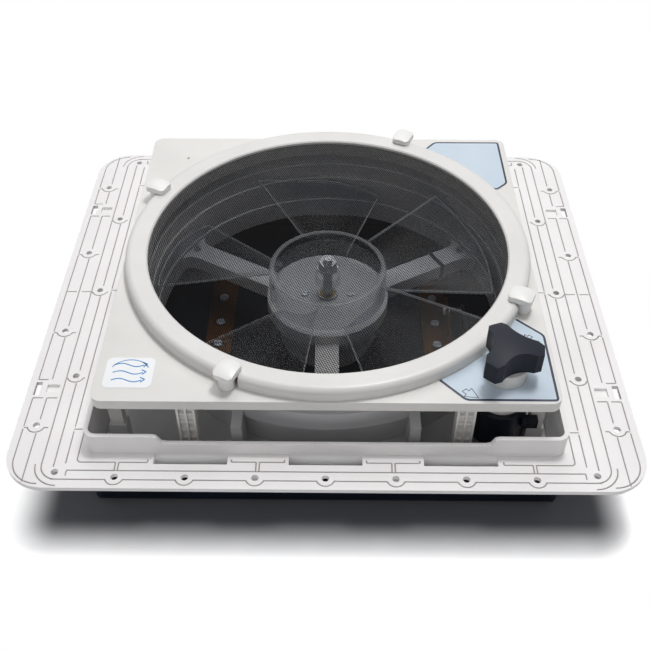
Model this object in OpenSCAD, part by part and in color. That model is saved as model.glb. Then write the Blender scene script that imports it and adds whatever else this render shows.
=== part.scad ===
// Roof vent fan for a 14 inch opening, lying on its closed lid with the room side up.
// Origin: centre of the screw pattern, on the flange face that meets the roof. +Z is the room side.

/* [Roof flange] */
// Width of the flange outside the wall at the two sides
flange_side = 58; // [56:0.5:70]
// Width of the flange outside the wall at the front and the back
flange_end = 31; // [30:0.5:45]
// Flange thickness
flange_thickness = 3.5; // [3:0.1:4.5]
// Flange corner radius
flange_corner = 32; // [20:1:40]
// Outside of the upright wall along X, which enters the roof opening
wall_length = 354; // [340:0.5:380]
// Outside of the upright wall along Y
wall_depth = 357; // [340:0.5:380]
// Thickness of the upright wall and of the curb below it
wall_thickness = 3.3; // [3:0.1:3.6]
// Height of the wall at its corners
wall_height = 19; // [15:0.5:22]
// Height of the wall along the middle of each side
wall_low_height = 11.5; // [8:0.5:13]
// Length of the high wall on each side of a corner
wall_high_end = 60; // [55:1:80]
// Depth of the curb below the flange face
curb_depth = 50.8; // [50:0.1:51]
// Spacing of the screw holes along an edge
screw_pitch = 50.8; // [45:0.1:51]
// Diameter of the screw holes
screw_hole_diameter = 5.2; // [4:0.1:6]
// Width of the lines engraved in the flange
groove_width = 1; // [0.5:0.1:1.5]
// Depth of the lines engraved in the flange
groove_depth = 0.7; // [0.2:0.1:1]

/* [Duct and panel] */
// Duct wall thickness
duct_wall = 2.6; // [2:0.1:3]
// Distance from the edge of the room-side panel to the outside of the wall
panel_margin = 8.5; // [7.5:0.5:12]
// Height of the panel face above the flange face
panel_height = 47.25; // [46.5:0.25:48]
// Panel thickness
panel_thickness = 3; // [2.5:0.1:3.4]
// Depth of the lip round the panel
panel_lip = 8.5; // [6:0.5:12]

/* [Screen] */
// Width of the screen frame's ring
screen_frame_width = 18.5; // [16:0.5:21]
// Distance from the screen frame's ring to the panel edge
screen_frame_margin = 1; // [0.5:0.1:3]
// Height of the screen frame above the panel
screen_frame_height = 11.15; // [10.5:0.05:12]
// Number of wires each way in the coarse net
net_wires = 7; // [7:2:15]
// Width of a net wire
net_wire_width = 0.7; // [0.5:0.1:1.2]

/* [Turn buttons] */
// Distance of a turn button's axis outside the screen frame's edge
button_offset = 1.5; // [1:0.1:2]
// Bearing of the first turn button
button_bearing = 65; // [60:1:66]
// Reach of a button's nose over the screen frame
button_nose = 12; // [10.5:0.5:13]
// Radius of a button's post
button_post_radius = 6; // [5:0.25:6.5]

/* [Knob] */
// Distance of the knob axis from the panel's right edge
knob_inset_x = 38; // [37.5:0.1:38.5]
// Distance of the knob axis from the panel's front edge
knob_inset_y = 29; // [28.5:0.1:29]
// Reach of each of the knob's three lobes
knob_reach = 24.5; // [20:0.5:25]
// Height of the knob's grip
knob_grip_height = 20.5; // [18:0.5:30]
// Radius of the collar below the knob
collar_radius = 15.3; // [13:0.1:15.5]

/* [Fan] */
// Radius of the fan hub
hub_radius = 50.5; // [48:0.5:51]
// Clearance between the blade tips and the duct
tip_clearance = 4.4; // [3:0.1:8]
// Number of blades
blade_count = 5; // [3:1:6]
// Angle a blade covers
blade_sweep = 48; // [36:1:50]
// Thickness of a blade
blade_thickness = 1.8; // [1.4:0.1:2.2]
// Number of arms that carry the motor
arm_count = 3; // [3:1:3]
// Width of an arm
arm_width = 20; // [16:0.5:22]

/* [Lid and lift] */
// Distance from the wall to the outside of the lid at the sides
lid_side = 9; // [8.8:0.1:10]
// Distance from the wall to the outside of the lid at the front and the back
lid_end = 7.5; // [7.4:0.1:8]
// Lid thickness
lid_wall = 3; // [2.4:0.1:3.1]
// Number of teeth on the worm wheel
wheel_teeth = 24; // [24:1:24]
// Length of the lift arm between its pivot and its roller
lift_arm_length = 150; // [148:0.5:151]
// Radius of the roller at the end of the lift arm
roller_radius = 4; // [3:0.1:4.5]

/* [Fits] */
// Radial play of a turning pin in its bore
running_fit = 0.05; // [0.03:0.01:0.1]
// Gap between faces that pass each other
side_gap = 0.4; // [0.3:0.05:0.6]

/* [Hidden] */
$fn = 96;
eps = 0.01;
wall_half_x = wall_length / 2;
wall_half_y = wall_depth / 2;
flange_length = wall_length + 2 * flange_side;
flange_depth = wall_depth + 2 * flange_end;
inner_half_x = wall_half_x - wall_thickness;
inner_half_y = wall_half_y - wall_thickness;
wall_corner = 9;
curb_corner = 16;
hole_edge = flange_depth / 2 - 9.9;
hole_side_inner = wall_half_x + 23.2;
hole_side_outer = flange_length / 2 - 15.1;
corner_x = flange_length / 2 - 38.6;
corner_y = flange_depth / 2 - 13.8;
land_radius = 6.8;
land_line = 2.3;
side_lines = [
  wall_half_x + 13, hole_side_inner - 1.9, hole_side_inner + 7.2,
  hole_side_outer - 1.6, hole_side_outer + 9.3
];
end_lines = [wall_half_y + 8.1, hole_edge - 5.6, hole_edge + 2.4];
side_slot_y = 115.5;
window_pitch = 99;
window_width = 54;
window_depth = 9.3;
floor_top = -26.5;
floor_thickness = 2.5;
floor_bottom = floor_top - floor_thickness;
panel_side = min(wall_length, wall_depth) - 2 * panel_margin;
panel_half = panel_side / 2;
screen_frame_outer = panel_half - screen_frame_margin;
screen_radius = screen_frame_outer - screen_frame_width;
button_circle = screen_frame_outer + button_offset;
duct_radius = screen_radius - 0.6;
blade_tip_radius = duct_radius - tip_clearance;
knob_x = panel_half - knob_inset_x;
knob_y = knob_inset_y - panel_half;
wall_low_half = min(wall_half_x, wall_half_y) - wall_high_end;
post_x = panel_half - 10.5;
post_y = panel_half - 21.5;
skirt = 11.5;
skirt_bottom = 6;
web_y = panel_half - 8.5;
web_x = panel_half - 66.5;
panel_under = panel_height - panel_thickness;
duct_top = panel_under;
screen_top = panel_height + screen_frame_height;
net_z = screen_top - 5;
net_thickness = 0.7;
notch_radius = 8.6;
head_bottom = screen_top + side_gap;
head_top = head_bottom + 6.2;
label_thickness = 0.2;
collar_height = 12;
grip_bottom = panel_height + collar_height + side_gap;
grip_top = grip_bottom + knob_grip_height;
boss_radius = 17;
boss_bottom = 16;
spindle_radius = 4;
spindle_tip_radius = 3;
cup_top = -3;
arm_top = -12;
arm_bottom = -26;
case_radius = 33;
case_top = -6;
case_bottom = -46;
shaft_radius = 4;
hub_floor = 24;
hub_top = 29.5;
hub_bottom = 2;
blade_low = 3;
blade_high = 27.5;
lid_rim = -13.5;
lid_inner = -59;
lid_corner = 32;
lid_round = 14;
lid_bottom = lid_inner - lid_wall;
lid_draft = 4;
lid_half_x = wall_half_x + lid_side;
lid_half_y = wall_half_y + lid_end;
hinge_y = -lid_half_y - 5.5;
hinge_z = -12;
hinge_spot = window_pitch / 2;
hinge_radius = 4.5;
knuckle_half = 7;
worm_centres = 19.5;
pivot_y = knob_y + worm_centres;
pivot_z = -35;
roller_line = -50;
slot_play = 0.8;
wheel_pitch_radius = 14;
worm_lead = 2 * PI * wheel_pitch_radius / wheel_teeth;
thread_depth = 1;
mesh_gap = 0.7;
worm_mean_radius = worm_centres - wheel_pitch_radius - mesh_gap / 2;
wheel_mean_radius = wheel_pitch_radius - mesh_gap / 2;
arm_drop = asin((pivot_z - roller_line) / lift_arm_length);
roller_y = pivot_y + lift_arm_length * cos(arm_drop);
wheel_x = knob_x;
wheel_width = 5;
lift_arm_x = wheel_x - wheel_width / 2 - 3.5;
lift_arm_thickness = 3;
cheek_gap = 0.4;
cheek_thickness = 3.5;
cheek_left = lift_arm_x - cheek_gap;
cheek_right = wheel_x + wheel_width / 2 + 3.5 + cheek_gap;
track_width = 24;
rail_x = lift_arm_x - 14.5;
track_x = rail_x - track_width / 2 + 2;
slot_front = roller_y - 38.25;
slot_back = roller_y + 1.75;
track_front = slot_front - 11;
track_back = track_front + 98;
strap_screw_spots = [track_front + 10, track_front + 38, track_front + 72];
gear_front = knob_y - 15.5;
lead_radius = 1.8;
lead_start = 35.5;
lead_bearing = 30;
lead_offset = 4;
lead_z = -20;

// Shared shapes

module rounded_rect(length, width, radius) {
  square([length - 2 * radius, width], center = true);
  square([length, width - 2 * radius], center = true);
  for (x = [-1, 1])
    for (y = [-1, 1])
      translate([x * (length / 2 - radius), y * (width / 2 - radius)]) circle(radius);
}

module rounded_block(length, width, radius, bottom, top) {
  translate([0, 0, bottom])
    linear_extrude(top - bottom) rounded_rect(length, width, radius);
}

module block(x0, x1, y0, y1, z0, z1) {
  translate([x0, y0, z0]) cube([x1 - x0, y1 - y0, z1 - z0]);
}

module post(radius, bottom, top) {
  translate([0, 0, bottom]) cylinder(r = radius, h = top - bottom);
}

module tube(outer, inner, bottom, top) {
  difference() {
    post(outer, bottom, top);
    post(inner, bottom - 1, top + 1);
  }
}

module both_ends() {
  children();
  mirror([0, 1, 0]) children();
}

module both_sides() {
  children();
  mirror([1, 0, 0]) children();
}

module at_corners(x, y) {
  for (i = [-1, 1])
    for (j = [-1, 1])
      translate([i * x, j * y, 0]) children();
}

module on_circle(count, radius, bearing) {
  for (i = [0 : count - 1])
    rotate([0, 0, bearing + i * 360 / count]) translate([radius, 0, 0]) children();
}

module along_x(x0, x1, radius) {
  translate([x0, 0, 0]) rotate([0, 90, 0]) cylinder(r = radius, h = x1 - x0);
}

// Roof flange with its wall, curb and engraved lines

module flange_holes() {
  both_ends() {
    for (i = [-3 : 3])
      translate([i * screw_pitch, -hole_edge, 0]) children();
  }
  at_corners(corner_x, corner_y) children();
  both_sides() {
    for (i = [-1 : 1])
      translate([hole_side_inner, i * 2 * screw_pitch, 0]) children();
    for (i = [-3, -1, 1, 3])
      translate([hole_side_outer, i * screw_pitch, 0]) children();
  }
}

module groove_y(x, y0, y1) {
  translate([x - groove_width / 2, y0]) square([groove_width, y1 - y0]);
}

module groove_x(y, x0, x1) {
  translate([x0, y - groove_width / 2]) square([x1 - x0, groove_width]);
}

// Half a ring below a screw hole, with a short line on each side of it
module hole_land(left, right) {
  difference() {
    circle(land_radius + groove_width / 2);
    circle(land_radius - groove_width / 2);
    translate([-land_radius - 1, -land_line]) square(2 * land_radius + 2);
  }
  reach = sqrt(pow(land_radius, 2) - pow(land_line, 2)) - 0.3;
  groove_x(-land_line, -left, -reach);
  groove_x(-land_line, reach, right);
}

module quarter_groove(radius, angle) {
  rotate(angle)
    intersection() {
      difference() {
        circle(radius + groove_width / 2);
        circle(radius - groove_width / 2);
      }
      square(radius + 1);
    }
}

module gap_at(x, y, half_x, half_y) {
  translate([x - half_x, y - half_y]) square([2 * half_x, 2 * half_y]);
}

module side_grooves() {
  end = flange_depth / 2;
  trims = [21.5, 18.5, 20.5, 5, 25.5];
  ticks = [-156, 0, 156];
  difference() {
    for (i = [0 : 4])
      groove_y(side_lines[i], trims[i] - end, end - trims[i]);
    for (y = ticks)
      gap_at(side_lines[0], y, 3, 2);
    for (i = [-1 : 1])
      gap_at(hole_side_inner - 1, i * 2 * screw_pitch - 1, 4, land_radius);
    for (i = [-3, -1, 1, 3]) {
      gap_at(hole_side_outer, i * screw_pitch - 1, 4, land_radius);
      gap_at(side_lines[4], i * screw_pitch - land_line, 2, 1.4);
    }
    for (y = [-side_slot_y, side_slot_y])
      gap_at(hole_side_outer + 4, y, 12, 10);
  }
  for (y = ticks)
    groove_x(y, side_lines[0] - 6, side_lines[0] + groove_width / 2);
  for (y = [-side_slot_y, side_slot_y]) {
    groove_x(y - 9.6, side_lines[2] + 3, side_lines[3]);
    groove_x(y - 9.6, side_lines[3] + 3, side_lines[4]);
    groove_x(y + 9.6, side_lines[3] + 3, side_lines[4]);
  }
  for (i = [-1 : 1])
    translate([hole_side_inner, i * 2 * screw_pitch]) hole_land(7.6, 7.2);
  for (i = [-3, -1, 1, 3])
    translate([hole_side_outer, i * screw_pitch]) hole_land(9.4, 9.2);
  groove_x(-2, side_lines[2], side_lines[3] - 2);
  groove_x(-2, side_lines[3] + 2, side_lines[4]);
}

module window_grooves() {
  y = -end_lines[0] + 1;
  for (s = [-1, 1]) {
    groove_x(y, s > 0 ? 1.2 : -19.5, s > 0 ? 19.5 : -1.2);
    groove_y(s * 1.2, -end_lines[1], y);
    groove_y(s * 19.5, y, y + 2.4);
  }
}

module corner_angle() {
  x = side_lines[0] - 7.8;
  y = -end_lines[0];
  groove_x(y, x - 52, x - 31);
  groove_x(y, x - 28.6, x - 3);
  groove_y(x - 52, y, y + 3);
  groove_y(x - 31, -end_lines[1], y);
  groove_y(x - 28.6, -end_lines[1], y);
  translate([x - 3, y + 3]) quarter_groove(3, 270);
  groove_y(x, y + 3, y + 28);
}

module end_grooves() {
  difference() {
    union() {
      groove_x(-end_lines[1], -side_lines[0] + 2, side_lines[0] - 2);
      groove_x(-end_lines[2], -side_lines[1], side_lines[1]);
    }
    for (i = [-3 : 3])
      gap_at(i * screw_pitch, -end_lines[2], land_radius, 3);
  }
  for (i = [-3 : 3])
    translate([i * screw_pitch, -hole_edge]) hole_land(land_radius, land_radius);
  for (x = [-window_pitch / 2, window_pitch / 2])
    translate([x, 0]) window_grooves();
  both_sides() corner_angle();
  both_sides() groove_y(side_lines[0] - 2, -end_lines[1] - 5, -end_lines[1]);
}

module corner_grooves() {
  end = flange_depth / 2;
  translate([side_lines[2] - 13, 20.5 - end]) quarter_groove(13, 270);
  translate([side_lines[2] - 14, 20.5 - end]) quarter_groove(18.5, 270);
  translate([side_lines[4] - 22, 25.5 - end]) quarter_groove(22, 270);
}

module flange_grooves() {
  both_sides() {
    side_grooves();
    both_ends() corner_grooves();
  }
  both_ends() end_grooves();
}

module wall_notch_profile() {
  polygon([
    [-wall_low_half - 9, wall_height + 1], [-wall_low_half - 9, wall_height],
    [-wall_low_half - 6, wall_height - 1], [-wall_low_half - 3, wall_low_height + 1],
    [-wall_low_half, wall_low_height],
    [wall_low_half, wall_low_height], [wall_low_half + 3, wall_low_height + 1],
    [wall_low_half + 6, wall_height - 1], [wall_low_half + 9, wall_height],
    [wall_low_half + 9, wall_height + 1]
  ]);
}

module upright_wall() {
  difference() {
    union() {
      rounded_block(wall_length, wall_depth, wall_corner, -flange_thickness, wall_height);
      rounded_block(wall_length, wall_depth, curb_corner, -curb_depth, -1);
    }
    rounded_block(2 * inner_half_x, 2 * inner_half_y, wall_corner - wall_thickness, 0, wall_height + 1);
    rounded_block(2 * inner_half_x, 2 * inner_half_y, curb_corner - wall_thickness, -curb_depth - 1, 0.1);
    rotate([90, 0, 0])
      linear_extrude(wall_depth + 20, center = true) wall_notch_profile();
    rotate([90, 0, 90])
      linear_extrude(wall_length + 20, center = true) wall_notch_profile();
  }
}

module floor_ledge() {
  difference() {
    rounded_block(wall_length - 2, wall_depth - 2, curb_corner - 1, floor_bottom - 3, floor_bottom);
    rounded_block(2 * inner_half_x - 12, 2 * inner_half_y - 12, 4, floor_bottom - 4, floor_bottom + 1);
  }
}

module roof_flange() {
  color("#EDE6E4")
    difference() {
      union() {
        difference() {
          rounded_block(flange_length, flange_depth, flange_corner, -flange_thickness, 0);
          rounded_block(wall_length - 2, wall_depth - 2, wall_corner - 1, -flange_thickness - 1, 1);
        }
        upright_wall();
        floor_ledge();
      }
      flange_holes() post(screw_hole_diameter / 2, -flange_thickness - 1, 1);
      both_ends()
        for (x = [-window_pitch, 0, window_pitch])
          block(x - window_width / 2, x + window_width / 2,
            -wall_half_y - window_depth, -wall_half_y, -flange_thickness - 1, 1);
      both_sides()
        for (y = [-side_slot_y, side_slot_y]) {
          block(hole_side_outer + 5.1, hole_side_outer + 10.1, y - 6.8, y + 6.8, -flange_thickness - 1, 1);
          block(hole_side_outer - 9.3, hole_side_outer + 0.7, y - 4.2, y + 4.2, -flange_thickness + 1, 1);
        }
      translate([0, 0, -groove_depth]) linear_extrude(1) flange_grooves();
    }
}

// Duct with its stepped throat, floor and ribs

module duct_section() {
  step = 1.2;
  r = duct_radius;
  w = duct_wall;
  polygon([
    [r, floor_bottom], [r, -10], [r + step, -9], [r + step, 15], [r + 2 * step, 16],
    [r + 2 * step, 30], [r + 3 * step, 31], [r + 3 * step, duct_top],
    [r + 13, duct_top], [r + 13, duct_top - 2.5],
    [r + 3 * step + w, duct_top - 2.5], [r + 3 * step + w, 26], [r + skirt, 24], [r + skirt, skirt_bottom],
    [r + skirt - 1.5, skirt_bottom], [r + skirt - 1.5, 22.5], [r + 2 * step + w, 24], [r + step + w, 14],
    [r + step + w, -8], [r + w, -9], [r + w, floor_bottom]
  ]);
}

module lead_bore(radius) {
  rotate([0, 0, lead_bearing])
    translate([duct_radius - 5, lead_offset, lead_z]) along_x(0, 20, radius);
}

module fan_duct() {
  color("#DEDDDC")
    difference() {
      union() {
        rotate_extrude($fn = 180) duct_section();
        on_circle(arm_count, duct_radius - 12, lead_bearing)
          block(0, 13, -arm_width / 2 + 2, arm_width / 2 - 2, floor_bottom, arm_bottom);
      }
      lead_bore(3.6);
      on_circle(arm_count, duct_radius - 6, lead_bearing) post(1.5, floor_bottom - 1, 0);
    }
}

module duct_floor() {
  barrel = duct_radius + duct_wall + 0.03;
  rib_x = 66.5;
  color("#DAD9D8")
    difference() {
      union() {
        rounded_block(2 * inner_half_x - 2 * side_gap, 2 * inner_half_y - 2 * side_gap,
          curb_corner - wall_thickness, floor_bottom, floor_top);
        both_ends()
          for (x = [-rib_x, rib_x])
            block(x - 4, x + 4, -wall_half_y + 14.5, -wall_half_y + 45, floor_top - 1, 13);
        at_corners(post_x, post_y) block(-6.5, 6.5, -5, 5, floor_top - 1, 0);
      }
      post(barrel, floor_bottom - 1, -9, $fn = 180);
      post(barrel + 1.2, -9.5, 14, $fn = 180);
      post(duct_radius + skirt + 0.3, skirt_bottom - 0.3, 14, $fn = 180);
      at_corners(post_x, post_y) {
        post(2.2, floor_bottom - 1, floor_top + 1);
        block(-5.1, 5.1, -4.1, 4.1, floor_top, 1);
      }
      block(cheek_left - cheek_thickness - 1, cheek_right + cheek_thickness + 1,
        gear_front - 7, pivot_y + 22, floor_bottom - 1, floor_top + 1);
      block(lift_arm_x - 1, lift_arm_x + lift_arm_thickness + 1,
        pivot_y, pivot_y + 32, floor_bottom - 1, floor_top + 1);
    }
}

// Room-side panel with its lip, corner posts and knob boss

module ribbed_post() {
  block(-7, 7, -2, 2, floor_top, panel_under + 1);
  for (x = [-6, 0, 6])
    block(x - 0.9, x + 0.9, -5, 5, floor_top, panel_under + 1);
  for (z = [-18 : 9 : 36])
    block(-6.9, 6.9, -4, 4, z, z + 1.8);
}

module ceiling_panel() {
  color("#EBEAE6")
    difference() {
      union() {
        difference() {
          rounded_block(panel_side, panel_side, 8, panel_height - panel_lip, panel_height);
          rounded_block(panel_side - 5, panel_side - 5, 5.5, panel_height - panel_lip - 1, panel_under);
        }
        at_corners(post_x, post_y) block(-5, 5, -4, 4, floor_top, panel_under + 1);
        translate([knob_x, knob_y, 0]) {
          tube(boss_radius, boss_radius - 3.5, boss_bottom, panel_under + 1);
          tube(boss_radius - 1, 6.5, boss_bottom, boss_bottom + 9);
        }
        both_ends() translate([-web_x, -web_y, 0]) ribbed_post();
        translate([web_x, -web_y, 0]) ribbed_post();
      }
      post(duct_radius + 3.6, panel_height - panel_lip - 1, panel_height + 1);
      on_circle(4, button_circle, button_bearing)
        post(4 + running_fit, panel_under - 1, panel_height + 1);
      translate([knob_x, knob_y, 0]) post(6.5, panel_under - 1, panel_height + 1);
      at_corners(post_x, post_y) post(1.5, floor_top - 1, floor_top + 16);
      translate([knob_x, knob_y, 0])
        on_circle(3, 10, 90) post(1.2, boss_bottom - 1, boss_bottom + 10);
      translate([-panel_half + 35.2, panel_half - 33.5, 0]) post(1.2, panel_under - 1, panel_height + 1);
    }
}

module screw_up(head_radius, head_height, shank_radius, length) {
  difference() {
    post(head_radius, -head_height, 0);
    block(-head_radius, head_radius, -0.4, 0.4, -head_height - 1, -head_height + 0.8);
    block(-0.4, 0.4, -head_radius, head_radius, -head_height - 1, -head_height + 0.8);
  }
  post(shank_radius, -eps, length);
}

module panel_screws() {
  color("#B9BCC0")
    at_corners(post_x, post_y)
      translate([0, 0, floor_bottom]) screw_up(4, 2.4, 1.48, 15);
}

// Screen frame, net and turn buttons

module frame_section() {
  r = screen_frame_outer;
  z = panel_height;
  difference() {
    union() {
      polygon([
        [screen_radius, z], [r, z], [r, screen_top - 5], [r - 5, screen_top - 5],
        [r - 5, screen_top], [screen_radius + 1.2, screen_top - 0.8], [screen_radius, screen_top - 2]
      ]);
      translate([r - 5, screen_top - 5]) circle(5, $fn = 60);
      translate([screen_radius, z - 5]) square([2.6, 5 + eps]);
    }
    translate([screen_radius - 1, net_z - 0.1]) square([3, net_thickness + 0.2]);
    translate([screen_radius + 3.2, z - 1]) square([r - screen_radius - 6.2, 5]);
  }
}

module screen_frame() {
  color("#F0EFEC")
    difference() {
      rotate_extrude($fn = 180) frame_section();
      on_circle(4, button_circle, button_bearing)
        post(notch_radius, panel_height - 10, screen_top + 1);
    }
}

module insect_screen() {
  pitch = 2 * screen_radius / (net_wires + 1);
  reach = screen_radius + 5;
  color("#3A3C40")
    intersection() {
      post(screen_radius + 1.8, net_z, net_z + net_thickness);
      union() {
        for (i = [1 : net_wires]) {
          x0 = -screen_radius + i * pitch - net_wire_width / 2;
          x1 = x0 + net_wire_width;
          block(x0, x1, -reach, reach, net_z, net_z + net_thickness);
          block(-reach, reach, x0, x1, net_z, net_z + net_thickness);
        }
        tube(screen_radius + 3, screen_radius - 1, net_z, net_z + net_thickness);
      }
    }
}

module turn_button() {
  half_width = 8;
  dome = 26;
  intersection() {
    translate([0, 0, head_bottom])
      linear_extrude(head_top - head_bottom) {
        translate([-button_nose + 4, -half_width]) square([button_nose - 1, 2 * half_width]);
        translate([-button_nose, -half_width + 4]) square([button_nose + 7, 2 * half_width - 8]);
        translate([3, -half_width + 4]) circle(4);
        translate([3, half_width - 4]) circle(4);
        translate([-button_nose + 4, -half_width + 4]) circle(4);
        translate([-button_nose + 4, half_width - 4]) circle(4);
      }
    translate([-2.5, 0, head_top - dome]) sphere(dome);
  }
  post(button_post_radius, panel_height + 0.25, head_bottom + 1);
  post(4, panel_under - 0.8, panel_height + 1);
  post(4.7, panel_under - 2.4, panel_under - 0.4);
}

module place_button(index) {
  color("#F1F0EE")
    rotate([0, 0, button_bearing + 90 * index])
      translate([button_circle, 0, 0]) turn_button();
}

module turn_button_1() { place_button(0); }
module turn_button_2() { place_button(1); }
module turn_button_3() { place_button(2); }
module turn_button_4() { place_button(3); }

// Labels on the panel

// A polygon's points with each corner eased over a short length
function eased(points, back) = [
  for (i = [0 : len(points) - 1])
    let (
      corner = points[i],
      before = points[(i + len(points) - 1) % len(points)] - corner,
      after = points[(i + 1) % len(points)] - corner,
      start = corner + before / norm(before) * back,
      stop = corner + after / norm(after) * back
    )
    for (t = [0 : 0.2 : 1]) start * (1 - t) * (1 - t) + corner * 2 * t * (1 - t) + stop * t * t
];

module label_film(points) {
  difference() {
    translate([0, 0, panel_height])
      linear_extrude(label_thickness) polygon(eased(points, 3.5));
    post(screen_frame_outer + 0.6, panel_height - 1, panel_height + 1);
    translate([knob_x, knob_y, 0]) post(collar_radius + 0.3, panel_height - 1, panel_height + 1);
    on_circle(4, button_circle, button_bearing)
      post(button_post_radius + 0.6, panel_height - 1, panel_height + 1);
  }
}

module knob_label() {
  e = panel_half - 2.5;
  color("#CFDEEB")
    label_film([
      [e - 86, 21 - e], [e - 66.6, -e], [e, -e],
      [e, 66.6 - e], [e - 21, 86 - e], [e - 56, 56 - e]
    ]);
}

module blank_label() {
  e = panel_half - 4.5;
  color("#CFDEEB")
    label_film([
      [e - 72, e - 12], [e - 62.2, e], [e, e],
      [e, e - 67.5], [e - 11, e - 78], [e - 54, e - 54]
    ]);
}

module airflow_badge() {
  color("#F4F6F8")
    translate([24.5 - panel_half, 27.5 - panel_half, panel_height])
      linear_extrude(label_thickness) rounded_rect(36, 30, 5);
}

module knob_collar() {
  color("#ECEBE8")
    translate([knob_x, knob_y, 0]) {
      tube(collar_radius, spindle_radius + running_fit, panel_height, panel_height + collar_height);
      tube(6.4, spindle_radius + running_fit, panel_under - 2, panel_height + 1);
    }
}

// Motor, its spider and its wiring

module cup_section() {
  polygon([
    [0, -6], [53, -6], [53, -18], [51, -24], [46, -34], [43, -44], [43, -52], [40.5, -52],
    [40.5, -43], [43.5, -33], [48, -24], [50, -18], [50, -9], [0, -9]
  ]);
}

module arm_plan() {
  half = arm_width / 2;
  tip = duct_radius - side_gap;
  difference() {
    union() {
      translate([45, -half]) square([tip - 45 - 1, arm_width]);
      translate([tip - 13, -half - 12]) square([12.6, arm_width + 24]);
    }
    for (s = [-1, 1])
      translate([tip - 13, s * (half + 12)]) circle(12);
  }
}

module motor_spider() {
  color("#E4E3E2")
    difference() {
      union() {
        translate([0, 0, cup_top + 6]) rotate_extrude() cup_section();
        for (i = [0 : arm_count - 1])
          rotate([0, 0, lead_bearing + i * 360 / arm_count])
            intersection() {
              translate([0, 0, arm_bottom]) linear_extrude(arm_top - arm_bottom) arm_plan();
              post(duct_radius - side_gap, arm_bottom - 1, arm_top + 1);
            }
      }
      for (i = [0 : arm_count - 1])
        rotate([0, 0, lead_bearing + i * 360 / arm_count])
          block(55, duct_radius - 16, -arm_width / 2 + 2.5, arm_width / 2 - 2.5,
            arm_bottom - 1, arm_top - 2.5);
      post(9, -60, 10);
      on_circle(2, 20, 0) post(2.2, -10, 10);
      on_circle(arm_count, duct_radius - 6, lead_bearing) post(1.8, arm_bottom - 1, arm_top + 1);
      rotate([0, 0, lead_bearing])
        translate([lead_start - 2, lead_offset, lead_z]) along_x(0, duct_radius, 2.4);
    }
}

module spider_screws() {
  color("#B9BCC0")
    on_circle(arm_count, duct_radius - 6, lead_bearing)
      translate([0, 0, arm_top]) mirror([0, 0, 1]) screw_up(3.4, 2, 1.5, arm_top - floor_bottom - 0.5);
}

module motor_case() {
  color("#8F9296")
    difference() {
      union() {
        post(case_radius, case_bottom, case_top);
        post(8.6, case_top - 1, case_top + 4.5);
      }
      post(case_radius - 2, case_bottom - 1, case_top - 2);
      post(7, case_top - 3, case_top + 5);
      on_circle(2, 20, 0) post(1.5, case_top - 3, case_top + 1);
    }
}

module motor_magnets() {
  color("#3B3B3E")
    for (a = [20, 200])
      rotate([0, 0, a])
        translate([0, 0, case_bottom + 6])
          rotate_extrude(angle = 140)
            translate([25.5, 0]) square([case_radius - 2 - 25.5, 27]);
}

module motor_end_cap() {
  color("#26282C")
    difference() {
      union() {
        post(case_radius, case_bottom - 3, case_bottom);
        post(9, case_bottom - 7, case_bottom);
        rotate([0, 0, lead_bearing]) block(24, lead_start + 2.2, lead_offset - 3, lead_offset + 3,
          case_bottom - 3, case_bottom);
      }
      post(6.5, case_bottom - 6, case_bottom + 1);
      rotate([0, 0, lead_bearing])
        translate([lead_start, lead_offset, 0]) post(lead_radius, case_bottom - 2, case_bottom + 1);
    }
}

module brush_holder() {
  top = case_bottom + 2.6;
  color("#7A4A25") {
    tube(case_radius - 2.1, 12, case_bottom, case_bottom + 1.6);
    for (a = [0, 180])
      rotate([0, 0, a])
        difference() {
          block(8, 22, -3, 3, case_bottom + 1.5, top + 2.4);
          post(10 + running_fit, case_bottom - 1, top + 3);
        }
  }
}

module front_bush() {
  color("#B8860B") tube(7, shaft_radius + running_fit, case_top - 2, case_top + 4);
}

module rear_bush() {
  color("#B8860B") tube(6.5, shaft_radius + running_fit, case_bottom - 6, case_bottom - 0.5);
}

module motor_screws() {
  color("#B9BCC0")
    on_circle(2, 20, 0)
      translate([0, 0, cup_top]) mirror([0, 0, 1]) screw_up(3.2, 1.8, 1.48, 6);
}

module motor_cover() {
  color("#E4E3E2") {
    tube(40.4, 38.4, -54, -45);
    post(40.4, -55.5, -53.5);
  }
}

module motor_lead() {
  bend = 5;
  color("#101114")
    rotate([0, 0, lead_bearing])
      translate([lead_start, lead_offset, 0]) {
        post(lead_radius, case_bottom - 2, lead_z - bend);
        translate([bend, 0, lead_z - bend])
          rotate([90, 0, 0])
            rotate([0, 0, 90])
              rotate_extrude(angle = 90) translate([bend, 0]) circle(lead_radius, $fn = 32);
        translate([bend, 0, lead_z]) along_x(0, duct_radius + 12 - lead_start - bend, lead_radius);
      }
}

module wire_grommet() {
  color("#16171A")
    rotate([0, 0, lead_bearing])
      translate([duct_radius, lead_offset, lead_z])
        difference() {
          union() {
            along_x(-0.3, 5, 3.5);
            along_x(duct_wall + 1.8, 6, 5);
          }
          along_x(-3, 8, lead_radius);
        }
}

module lead_plug() {
  color("#E8E4D8")
    rotate([0, 0, lead_bearing])
      difference() {
        block(duct_radius + 10, duct_radius + 25, lead_offset - 5, lead_offset + 5, floor_top, -15);
        translate([duct_radius, lead_offset, lead_z]) along_x(9, 12, lead_radius);
      }
}

module cable_tie() {
  color("#17181B")
    rotate([0, 0, lead_bearing])
      translate([duct_radius - 32.4, 0, 0])
        difference() {
          block(-1.6, 1.6, -arm_width / 2 - 1.2, arm_width / 2 + 1.2, arm_bottom - 1.2, arm_top + 1.2);
          block(-2, 2, -arm_width / 2, arm_width / 2, arm_bottom, arm_top);
        }
}

// Lift gear under the knob

module in_yz(x0, x1) {
  translate([x0, 0, 0]) rotate([90, 0, 90]) linear_extrude(x1 - x0) children();
}

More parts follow.
